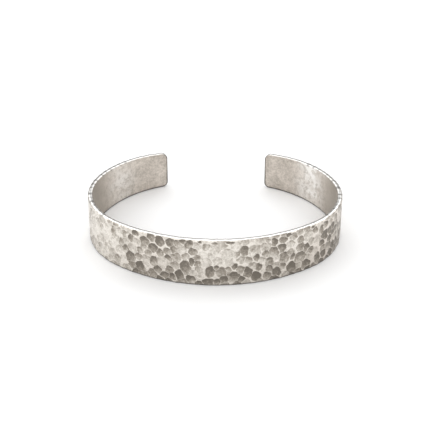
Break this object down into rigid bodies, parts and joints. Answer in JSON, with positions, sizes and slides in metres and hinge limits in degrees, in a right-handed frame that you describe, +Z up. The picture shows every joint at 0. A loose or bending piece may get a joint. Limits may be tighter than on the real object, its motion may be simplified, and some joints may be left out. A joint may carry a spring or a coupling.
{
  "type": "cuff bracelet",
  "caption": "Oval open cuff bracelet of hammered silver: a tapered band with rounded ends, open at the back of the wrist, lying on its flat lower edge.",
  "frame": {"origin": "centre of the cuff's box, on the plane of its flat lower edge", "axes": "+Z up along the wrist, +X across the oval's long axis, +Y towards the opening at the back of the wrist"},
  "size_m": [0.062, 0.048, 0.0122],
  "materials": {
    "aged_silver": "silver, hammered outside with darkened dents and polished ridges and rim, satin inside"
  },
  "bodies": {
    "root": {"cuff": "aged_silver"}
  },
  "joints": []
}
